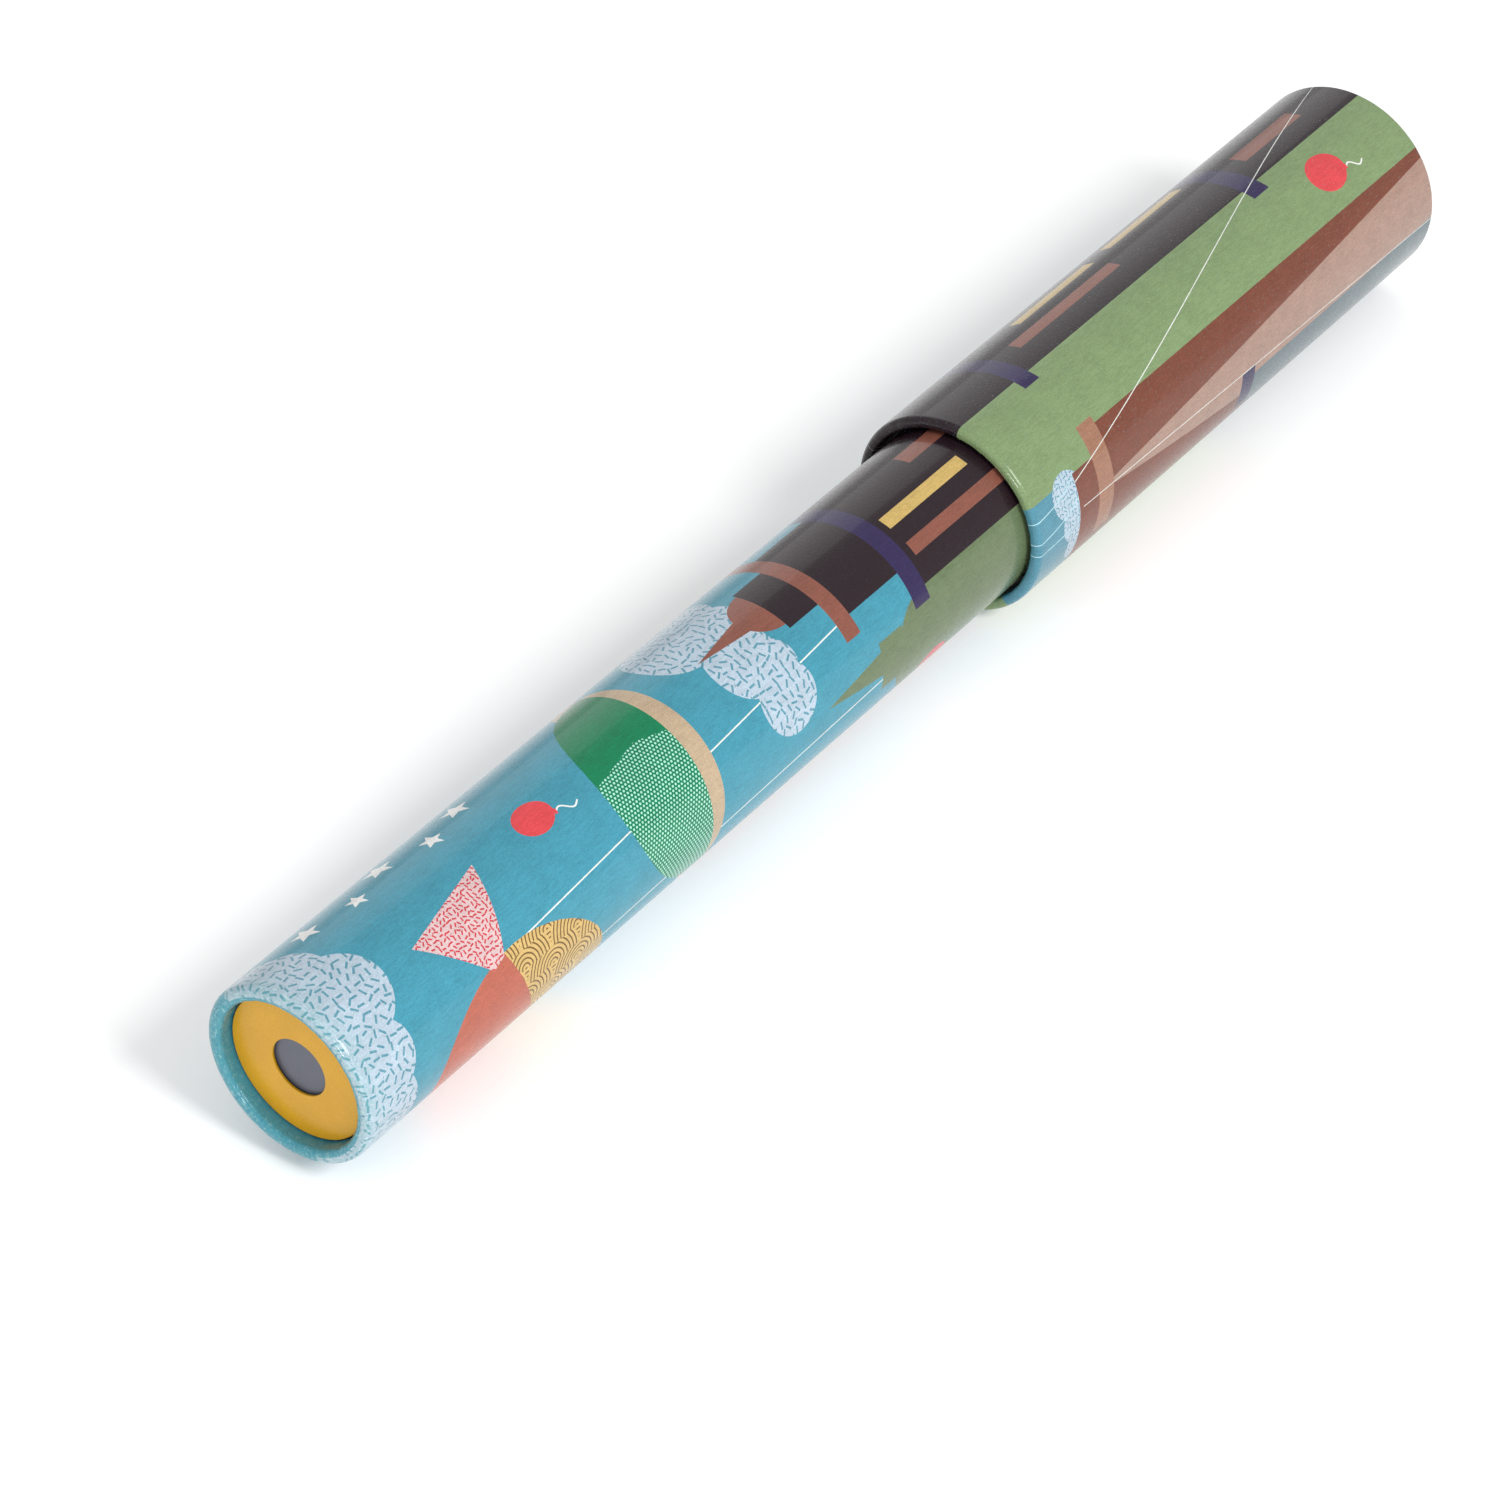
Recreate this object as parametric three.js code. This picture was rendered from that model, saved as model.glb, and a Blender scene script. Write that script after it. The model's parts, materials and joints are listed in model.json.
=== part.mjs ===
// A telescoping card kaleidoscope, lying on its side along X with the eyepiece at -X.
// A viewing tube holds the eyepiece and a three-mirror prism. A larger sleeve slides and
// turns on it and carries the object chamber with its loose coloured chips. Units are mm.
import * as THREE from 'three';

// ---- Driving dimensions ----
const SIDES = 40; // flats round every turned piece, with one flat facing straight down
const FACE_GAP = 0.3; // kept between pieces that touch on the real object
const PAPER = 0.45; // thickness of the printed, laminated wrap

const TUBE_LENGTH = 236;
const TUBE_RADIUS = 20;
const TUBE_MOUTH_RADIUS = 16.6; // inner face of the wrap where it turns into the tube
const TUBE_LIP_DEPTH = 7.4;
const TUBE_ROUNDS = { outer: 1.8, inner: 1.2 };

const SLEEVE_LENGTH = 162;
const SLEEVE_RADIUS = 23.5;
const SLEEVE_MOUTH_RADIUS = 20.9;
const SLEEVE_LIP_DEPTH = 4.5;
const SLEEVE_END_LIP_DEPTH = 3.4;
const SLEEVE_ROUNDS = { outer: 1.5, inner: 0.75 };
const PULLED_OUT = 218; // length of viewing tube that shows with the sleeve pulled out

const EYEPIECE_RECESS = 3.6;
const EYEPIECE_THICKNESS = 0.6;
const EYE_HOLE_RADIUS = 6.4;
const EYE_WINDOW_RADIUS = 9;
const EYE_WINDOW_THICKNESS = 0.7;
const WASHER_THICKNESS = 1.2;

const MIRROR_THICKNESS = 1;
const MIRROR_DISTANCE = 7.8; // from the axis to each reflecting face
const SUPPORT_THICKNESS = 2;
const PACKING_LENGTH = 60;
const PACKING_SPREAD = 0.8; // share of the space behind a mirror that its packing spans
const END_WINDOW_THICKNESS = 0.8;
const END_WINDOW_INSET = 1;
const STOP_COLLAR_LENGTH = 5.5;
const STOP_COLLAR_INSET = 0.5;

const SLIP_RING_LENGTH = 3.5;
const SLIP_RING_PLAY = 0.5; // end play of the felt ring between the lip and its keeper
const SLIP_CLEARANCE = 0.25; // running clearance inside and outside the felt ring
const KEEPER_LENGTH = 2;

const SEAT_RING_THICKNESS = 2;
const SEAT_RING_HOLE = 17;
const CHAMBER_DEPTH = 5.6;
const CHAMBER_RADIUS = 18.6;
const DIFFUSER_THICKNESS = 1;
const END_RING_THICKNESS = 1.4;
const END_RING_HOLE = 17.6;
const CHIP_THICKNESS = 1.2;
const CHIP_LAYER_STEP = 1.75;

// ---- Dimensions that follow from them ----
const WRAP_TO_CORE = PAPER + FACE_GAP;
const TUBE_BORE = TUBE_MOUTH_RADIUS + WRAP_TO_CORE;
const SLEEVE_BORE = SLEEVE_MOUTH_RADIUS + WRAP_TO_CORE;
const AXIS_HEIGHT = SLEEVE_RADIUS;
const TOTAL_LENGTH = PULLED_OUT + SLEEVE_LENGTH;

// ---- Materials ----
function material(name, color, roughness, metalness = 0, opacity = 1) {
  const transparent = opacity < 1;
  return new THREE.MeshStandardMaterial({ name, color, roughness, metalness, opacity, transparent });
}

const MATERIALS = {
  tubePrint: material('tube_print', 0x4aa8c2, 0.35),
  sleevePrint: material('sleeve_print', 0x7f9e6b, 0.35),
  card: material('card', 0xa89a86, 0.85),
  ochre: material('ochre', 0xd4a338, 0.3),
  eyeWindow: material('eye_window', 0x66686f, 0.15),
  clear: material('clear_plastic', 0xe6ecef, 0.08, 0, 0.35),
  mirror: material('mirror', 0xdde0e4, 0.05, 1),
  felt: material('felt', 0x3c3a40, 0.95),
  diffuser: material('diffuser', 0xf0f1ee, 0.55, 0, 0.8),
  red: material('chip_red', 0xd83a3a, 0.2),
  yellow: material('chip_yellow', 0xf0bd2e, 0.2),
  blue: material('chip_blue', 0x2b6fc4, 0.2),
  green: material('chip_green', 0x2f9a5a, 0.2),
  violet: material('chip_violet', 0x7a4aa8, 0.2),
};

// ---- Geometry helpers. Profiles are [along the axis, distance from the axis]. ----

// Points on a round, from one angle to another in degrees.
function arc(centre, radius, fromDegrees, toDegrees, steps = 3) {
  const points = [];
  for (let step = 0; step <= steps; step += 1) {
    const angle = THREE.MathUtils.degToRad(fromDegrees + ((toDegrees - fromDegrees) * step) / steps);
    points.push([centre[0] + radius * Math.cos(angle), centre[1] + radius * Math.sin(angle)]);
  }
  return points;
}

// Turns a profile about X. Its radii are those of the flats, so the flats touch the true circle.
// A ring's profile closes on itself, and a disc's starts and ends on the axis.
function turned(profile, isRing = true) {
  const stretch = 1 / Math.cos(Math.PI / SIDES);
  const points = profile.map(([along, radius]) => new THREE.Vector2(radius * stretch, along));
  if (isRing) points.push(points[0].clone());
  const geometry = new THREE.LatheGeometry(points, SIDES, Math.PI / SIDES);
  geometry.rotateZ(-Math.PI / 2);
  return facingOut(geometry);
}

// Flips the triangles of a closed geometry whose faces point inwards.
function facingOut(geometry) {
  const corner = [new THREE.Vector3(), new THREE.Vector3(), new THREE.Vector3()];
  const { position } = geometry.attributes;
  const index = geometry.index.array;
  let volume = 0;
  for (let i = 0; i < index.length; i += 3) {
    corner.forEach((point, j) => point.fromBufferAttribute(position, index[i + j]));
    volume += corner[0].dot(corner[1].clone().cross(corner[2]));
  }
  if (volume < 0) {
    for (let i = 0; i < index.length; i += 3) {
      [index[i], index[i + 1]] = [index[i + 1], index[i]];
    }
  }
  return geometry;
}

function ring(start, end, innerRadius, outerRadius) {
  return turned([[start, innerRadius], [start, outerRadius], [end, outerRadius], [end, innerRadius]]);
}

function disc(start, end, radius) {
  return turned([[start, 0], [start, radius], [end, radius], [end, 0]], false);
}

// The quarter round from a tube's outer wall to its flat end at 0, moved in by inset.
function shoulder(outerRadius, round, inset) {
  return arc([round, outerRadius - round], round - inset, 90, 180);
}

// The section of the paper rolled over a tube's end at 0, from the outer wall to the mouth's
// wall. An inset of 0 gives the outside of the paper, and its thickness gives the underside.
function rolledEdge(outerRadius, mouthRadius, rounds, inset) {
  const innerCentre = [rounds.inner, mouthRadius + rounds.inner];
  return [
    ...shoulder(outerRadius, rounds.outer, inset),
    ...arc(innerCentre, rounds.inner - inset, 180, 270),
  ];
}

// The end of the card core that the rolled edge covers.
function coreEdge(outerRadius, mouthRadius, rounds) {
  return [
    ...shoulder(outerRadius, rounds.outer, WRAP_TO_CORE),
    [WRAP_TO_CORE, mouthRadius + WRAP_TO_CORE],
  ];
}

const reversed = (points) => [...points].reverse();
const mirrored = (points, length) => points.map(([along, radius]) => [length - along, radius]);

// Extrudes a shape drawn in the YZ plane along X, from start for length.
function extruded(shape, start, length) {
  const options = { depth: length, bevelEnabled: false, curveSegments: 8 };
  const geometry = new THREE.ExtrudeGeometry(shape, options);
  geometry.rotateY(Math.PI / 2); // depth now runs along X
  geometry.rotateX(Math.PI / 2); // the shape's x and y are now Y and Z
  geometry.translate(start, 0, 0);
  return geometry;
}

function polygon(sides, radius, turn = 0) {
  const points = [];
  for (let i = 0; i < sides; i += 1) {
    const angle = turn + (i * 2 * Math.PI) / sides;
    points.push(new THREE.Vector2(radius * Math.cos(angle), radius * Math.sin(angle)));
  }
  return points;
}

function add(group, name, geometry, meshMaterial) {
  const mesh = new THREE.Mesh(geometry, meshMaterial);
  mesh.name = name;
  group.add(mesh);
  return mesh;
}

// ---- Viewing tube: x runs from the eyepiece rim ----

function tubePrint() {
  const outside = rolledEdge(TUBE_RADIUS, TUBE_MOUTH_RADIUS, TUBE_ROUNDS, 0);
  const inside = rolledEdge(TUBE_RADIUS, TUBE_MOUTH_RADIUS, TUBE_ROUNDS, PAPER);
  return turned([
    [TUBE_LENGTH, TUBE_RADIUS],
    ...outside,
    [TUBE_LIP_DEPTH, TUBE_MOUTH_RADIUS],
    [TUBE_LIP_DEPTH, TUBE_MOUTH_RADIUS + PAPER],
    ...reversed(inside),
    [TUBE_LENGTH, TUBE_RADIUS - PAPER],
  ]);
}

function tubeCore() {
  return turned([
    [TUBE_LENGTH, TUBE_RADIUS - WRAP_TO_CORE],
    ...coreEdge(TUBE_RADIUS, TUBE_MOUTH_RADIUS, TUBE_ROUNDS),
    [TUBE_LENGTH, TUBE_BORE],
  ]);
}

// A card disc that fills the bore, with a triangular opening inside the mirrors.
function mirrorSupport(start) {
  const circumradius = (TUBE_BORE - FACE_GAP) / Math.cos(Math.PI / SIDES);
  const shape = new THREE.Shape(polygon(SIDES, circumradius, Math.PI / SIDES));
  const openingRadius = 2 * (MIRROR_DISTANCE - MIRROR_THICKNESS);
  shape.holes.push(new THREE.Path(polygon(3, openingRadius, Math.PI / 2)));
  return extruded(shape, start, SUPPORT_THICKNESS);
}

// A corrugated card strip that fills the space between one mirror's back and the bore.
function packingStrip(start, mirrorBack) {
  const flat = mirrorBack + FACE_GAP;
  const radius = TUBE_BORE - FACE_GAP;
  const halfAngle = Math.acos(flat / radius) * PACKING_SPREAD;
  const shape = new THREE.Shape();
  shape.moveTo(flat * Math.tan(halfAngle), flat);
  shape.absarc(0, 0, radius, Math.PI / 2 - halfAngle, Math.PI / 2 + halfAngle, false);
  shape.lineTo(-flat * Math.tan(halfAngle), flat);
  return extruded(shape, start, PACKING_LENGTH);
}

function addMirrors(group, start, end) {
  const length = end - start;
  const width = 2 * Math.sqrt(3) * MIRROR_DISTANCE - 2 * FACE_GAP;
  const mirrorBack = MIRROR_DISTANCE + MIRROR_THICKNESS;
  for (let i = 0; i < 3; i += 1) {
    const side = new THREE.Group();
    side.rotation.x = Math.PI + (i * 2 * Math.PI) / 3; // the first mirror lies flat at the bottom
    group.add(side);
    const strip = new THREE.BoxGeometry(length, width, MIRROR_THICKNESS);
    const mirror = add(side, `mirror_${i + 1}`, strip, MATERIALS.mirror);
    mirror.position.set(start + length / 2, 0, MIRROR_DISTANCE + MIRROR_THICKNESS / 2);
    const packingStart = start + (length - PACKING_LENGTH) / 2;
    add(side, `packing_strip_${i + 1}`, packingStrip(packingStart, mirrorBack), MATERIALS.card);
  }
}

function viewingTube() {
  const group = new THREE.Group();
  add(group, 'tube_print', tubePrint(), MATERIALS.tubePrint);
  add(group, 'tube_core', tubeCore(), MATERIALS.card);

  const lipFit = TUBE_MOUTH_RADIUS - FACE_GAP;
  const boreFit = TUBE_BORE - FACE_GAP;
  const discEnd = EYEPIECE_RECESS + EYEPIECE_THICKNESS;
  const windowStart = discEnd + FACE_GAP;
  const windowEnd = windowStart + EYE_WINDOW_THICKNESS;
  const washerStart = windowEnd + FACE_GAP;
  const washerEnd = washerStart + WASHER_THICKNESS;
  add(group, 'eyepiece_disc', ring(EYEPIECE_RECESS, discEnd, EYE_HOLE_RADIUS, lipFit), MATERIALS.ochre);
  add(group, 'eye_window', disc(windowStart, windowEnd, EYE_WINDOW_RADIUS), MATERIALS.eyeWindow);
  add(group, 'eye_washer', ring(washerStart, washerEnd, EYE_HOLE_RADIUS, lipFit), MATERIALS.card);

  const frontSupport = TUBE_LIP_DEPTH + FACE_GAP;
  const endWindowEnd = TUBE_LENGTH - END_WINDOW_INSET;
  const endWindowStart = endWindowEnd - END_WINDOW_THICKNESS;
  const rearSupport = endWindowStart - FACE_GAP - SUPPORT_THICKNESS;
  const mirrorStart = frontSupport + SUPPORT_THICKNESS + FACE_GAP;
  add(group, 'mirror_front_support', mirrorSupport(frontSupport), MATERIALS.card);
  add(group, 'mirror_rear_support', mirrorSupport(rearSupport), MATERIALS.card);
  addMirrors(group, mirrorStart, rearSupport - FACE_GAP);
  add(group, 'tube_end_window', disc(endWindowStart, endWindowEnd, boreFit), MATERIALS.clear);

  const collarEnd = TUBE_LENGTH - STOP_COLLAR_INSET;
  const collarOuter = SLEEVE_BORE - FACE_GAP;
  const collar = ring(collarEnd - STOP_COLLAR_LENGTH, collarEnd, TUBE_RADIUS + FACE_GAP, collarOuter);
  add(group, 'stop_collar', collar, MATERIALS.card);
  return group;
}

// ---- Sleeve: x runs from its open mouth ----

function sleevePrint() {
  const outsideEdge = rolledEdge(SLEEVE_RADIUS, SLEEVE_MOUTH_RADIUS, SLEEVE_ROUNDS, 0);
  const insideEdge = rolledEdge(SLEEVE_RADIUS, SLEEVE_MOUTH_RADIUS, SLEEVE_ROUNDS, PAPER);
  const lipBack = SLEEVE_MOUTH_RADIUS + PAPER;
  const endLipStart = SLEEVE_LENGTH - SLEEVE_END_LIP_DEPTH;
  return turned([
    ...outsideEdge,
    [SLEEVE_LIP_DEPTH, SLEEVE_MOUTH_RADIUS],
    [SLEEVE_LIP_DEPTH, lipBack],
    ...reversed(insideEdge),
    ...mirrored(insideEdge, SLEEVE_LENGTH),
    [endLipStart, lipBack],
    [endLipStart, SLEEVE_MOUTH_RADIUS],
    ...reversed(mirrored(outsideEdge, SLEEVE_LENGTH)),
  ]);
}

function sleeveCore() {
  const edge = coreEdge(SLEEVE_RADIUS, SLEEVE_MOUTH_RADIUS, SLEEVE_ROUNDS);
  return turned([...edge, ...reversed(mirrored(edge, SLEEVE_LENGTH))]);
}

function slipRing() {
  const group = new THREE.Group();
  const start = SLEEVE_LIP_DEPTH + SLIP_RING_PLAY;
  const inner = TUBE_RADIUS + SLIP_CLEARANCE;
  const outer = SLEEVE_BORE - SLIP_CLEARANCE;
  add(group, 'slip_ring', ring(start, start + SLIP_RING_LENGTH, inner, outer), MATERIALS.felt);
  return group;
}

function sleeve() {
  const group = new THREE.Group();
  const boreFit = SLEEVE_BORE - FACE_GAP;
  add(group, 'sleeve_print', sleevePrint(), MATERIALS.sleevePrint);
  add(group, 'sleeve_core', sleeveCore(), MATERIALS.card);

  const keeperStart = SLEEVE_LIP_DEPTH + SLIP_RING_LENGTH + 2 * SLIP_RING_PLAY;
  const keeper = ring(keeperStart, keeperStart + KEEPER_LENGTH, SLEEVE_MOUTH_RADIUS, boreFit);
  add(group, 'slip_ring_keeper', keeper, MATERIALS.card);

  // The chamber's stack is laid out from the rolled lip at the end back towards the mirrors.
  const diffuserEnd = SLEEVE_LENGTH - SLEEVE_END_LIP_DEPTH - FACE_GAP;
  const diffuserStart = diffuserEnd - DIFFUSER_THICKNESS;
  const spacerEnd = diffuserStart - FACE_GAP;
  const spacerStart = spacerEnd - CHAMBER_DEPTH;
  const windowEnd = spacerStart - FACE_GAP;
  const windowStart = windowEnd - END_WINDOW_THICKNESS;
  const seatEnd = windowStart - FACE_GAP;
  const endRingStart = diffuserEnd + FACE_GAP;
  const endRing = ring(
    endRingStart, endRingStart + END_RING_THICKNESS, END_RING_HOLE, SLEEVE_MOUTH_RADIUS - FACE_GAP,
  );
  const seatRing = ring(seatEnd - SEAT_RING_THICKNESS, seatEnd, SEAT_RING_HOLE, boreFit);
  add(group, 'chamber_seat_ring', seatRing, MATERIALS.card);
  add(group, 'chamber_window', disc(windowStart, windowEnd, boreFit), MATERIALS.clear);
  add(group, 'chamber_spacer', ring(spacerStart, spacerEnd, CHAMBER_RADIUS, boreFit), MATERIALS.card);
  add(group, 'diffuser', disc(diffuserStart, diffuserEnd, boreFit), MATERIALS.diffuser);
  add(group, 'object_end_ring', endRing, MATERIALS.ochre);

  const chips = looseChips();
  chips.position.x = (spacerStart + spacerEnd) / 2;
  group.add(chips);
  return group;
}

// ---- Loose chips: a heap at the bottom of the chamber, in three layers ----
// Each chip is [name, sides, radius, colour, layer, degrees from straight down, distance out, turn].
const ROUND = 16;
const CHIPS = [
  ['red_triangle_chip', 3, 3.4, 'red', -1, -52, 13.6, 10],
  ['blue_disc_chip', ROUND, 2.8, 'blue', -1, -18, 14.2, 0],
  ['yellow_square_chip', 4, 3.4, 'yellow', -1, 18, 13.4, 30],
  ['green_hexagon_chip', 6, 3.0, 'green', -1, 52, 14.0, 15],
  ['violet_disc_chip', ROUND, 2.6, 'violet', -1, 2, 6.4, 0],
  ['yellow_triangle_chip', 3, 3.4, 'yellow', 0, -36, 13.4, 70],
  ['red_disc_chip', ROUND, 3.0, 'red', 0, -2, 14.0, 0],
  ['blue_square_chip', 4, 3.4, 'blue', 0, 34, 13.4, 55],
  ['green_triangle_chip', 3, 3.3, 'green', 0, -26, 6.2, 35],
  ['violet_hexagon_chip', 6, 2.9, 'violet', 0, 68, 12.0, 5],
  ['green_disc_chip', ROUND, 2.8, 'green', 1, -48, 14.0, 0],
  ['red_pentagon_chip', 5, 3.2, 'red', 1, 20, 14.0, 20],
  ['violet_square_chip', 4, 3.2, 'violet', 1, -14, 13.6, 12],
  ['blue_triangle_chip', 3, 3.4, 'blue', 1, 54, 13.6, 25],
  ['yellow_disc_chip', ROUND, 2.7, 'yellow', 1, 14, 6.0, 0],
];

function looseChips() {
  const group = new THREE.Group();
  for (const [name, sides, radius, colour, layer, downDegrees, distance, turnDegrees] of CHIPS) {
    const around = THREE.MathUtils.degToRad(downDegrees);
    const shape = new THREE.Shape(polygon(sides, radius, THREE.MathUtils.degToRad(turnDegrees)));
    const chip = add(group, name, extruded(shape, -CHIP_THICKNESS / 2, CHIP_THICKNESS), MATERIALS[colour]);
    chip.position.set(layer * CHIP_LAYER_STEP, distance * Math.sin(around), -distance * Math.cos(around));
  }
  return group;
}

// ---- The whole kaleidoscope, with its origin on the floor below its middle ----

const kaleidoscope = new THREE.Group();
kaleidoscope.position.set(-TOTAL_LENGTH / 2, 0, AXIS_HEIGHT);
kaleidoscope.add(viewingTube());

const slidingParts = new THREE.Group();
slidingParts.position.x = PULLED_OUT;
slidingParts.add(slipRing(), sleeve());
kaleidoscope.add(slidingParts);

const part = new THREE.Group();
part.add(kaleidoscope);

export default part;
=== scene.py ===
"""The looks of a telescoping card kaleidoscope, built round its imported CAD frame.

The printed papers are laid out flat as a sheet: x runs along the tube in millimetres from the
tube's mouth, and s runs round it from the top, positive towards +Y. The art is drawn on the sheet
as a stack of outlines, and the sheet is then rolled round the tube and over its rims.
"""

import json
import math

import bmesh
import bpy
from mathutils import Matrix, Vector, geometry, noise


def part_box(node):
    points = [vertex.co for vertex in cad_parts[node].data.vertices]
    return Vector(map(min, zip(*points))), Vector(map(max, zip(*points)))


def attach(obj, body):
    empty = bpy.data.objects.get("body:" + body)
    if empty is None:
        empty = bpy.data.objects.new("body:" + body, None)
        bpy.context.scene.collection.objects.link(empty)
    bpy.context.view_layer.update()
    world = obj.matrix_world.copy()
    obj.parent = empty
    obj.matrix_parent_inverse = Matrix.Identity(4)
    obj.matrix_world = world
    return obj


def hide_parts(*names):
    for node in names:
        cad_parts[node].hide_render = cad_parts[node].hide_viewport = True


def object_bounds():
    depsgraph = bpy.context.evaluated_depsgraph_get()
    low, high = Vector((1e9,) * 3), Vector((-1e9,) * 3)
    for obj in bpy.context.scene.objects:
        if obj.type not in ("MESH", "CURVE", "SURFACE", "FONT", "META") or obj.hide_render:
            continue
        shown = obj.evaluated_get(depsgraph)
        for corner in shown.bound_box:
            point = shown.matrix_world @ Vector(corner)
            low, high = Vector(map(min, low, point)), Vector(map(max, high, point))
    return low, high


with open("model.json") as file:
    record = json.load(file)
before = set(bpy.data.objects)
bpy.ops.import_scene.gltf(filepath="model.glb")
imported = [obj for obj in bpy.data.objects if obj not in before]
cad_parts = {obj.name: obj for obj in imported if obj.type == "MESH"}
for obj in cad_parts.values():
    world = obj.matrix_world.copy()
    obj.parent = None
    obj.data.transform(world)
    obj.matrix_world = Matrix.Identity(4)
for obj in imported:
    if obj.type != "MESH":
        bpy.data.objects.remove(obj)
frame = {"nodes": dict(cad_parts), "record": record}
CAD_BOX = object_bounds()

MM = 0.001
NODES = frame["nodes"]

CAD_SIDES = 40  # flats round each turned piece of the frame
TOUCHING = 0.01  # places nearer than this count as one, in millimetres
AXIS_Z = (CAD_BOX[0][2] + CAD_BOX[1][2]) / 2

# ---- Colours of the inks and materials, in sRGB ----
TURQUOISE = (0.23, 0.515, 0.59)
CLOUD = (0.63, 0.69, 0.74)
CLOUD_DASH = (0.33, 0.52, 0.58)
OCHRE = (0.77, 0.57, 0.06)
# Painted shade: the eye window's opaque grey stands for the dark inside of the tube seen through clear
# plastic.
WINDOW_PAINTED_DARK = (0.31, 0.32, 0.37)
GREEN = (0.45, 0.53, 0.37)
# The sleeve's green painted darker as shade, for the tube's green tower, which lies in less light.
TUBE_GREEN_PAINTED_SHADE = (0.36, 0.42, 0.30)
BROWN = (0.42, 0.23, 0.17)
STRIP_BROWN = (0.48, 0.29, 0.24)
BEIGE = (0.58, 0.47, 0.42)
BLACK = (0.13, 0.08, 0.105)
PURPLE = (0.17, 0.13, 0.28)
YELLOW = (0.72, 0.61, 0.36)
RED = (0.77, 0.25, 0.27)
GREY_BLUE = (0.35, 0.40, 0.42)
HILL_GREEN = (0.02, 0.43, 0.28)
HILL_DOT = (0.60, 0.79, 0.73)
TAN = (0.66, 0.58, 0.48)
SCALLOP_TAN = (0.74, 0.62, 0.38)
SCALLOP_LINE = (0.40, 0.30, 0.14)
PINK = (0.76, 0.66, 0.66)
PINK_DASH = (0.70, 0.22, 0.26)
TERRACOTTA = (0.64, 0.34, 0.27)
WHITE = (0.84, 0.84, 0.83)
SKY_BLUE = (0.28, 0.49, 0.56)
LINE_CREAM = (0.80, 0.81, 0.79)
LINE_BLUE = (0.62, 0.76, 0.80)
SAND = (0.56, 0.40, 0.32)
GREYBOARD = (0.62, 0.56, 0.47)
KRAFT = (0.60, 0.46, 0.31)
PAPER_BACK = (0.86, 0.85, 0.82)
RUBBED = (0.66, 0.80, 0.77)
RUBBED_TEAL = (0.36, 0.60, 0.60)


def linear(colour):
    """An sRGB colour as the linear RGBA that a shader takes."""
    channels = [c / 12.92 if c <= 0.04045 else ((c + 0.055) / 1.055) ** 2.4 for c in colour]
    return (*channels, 1.0)


# ---- Shader building ----


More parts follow.
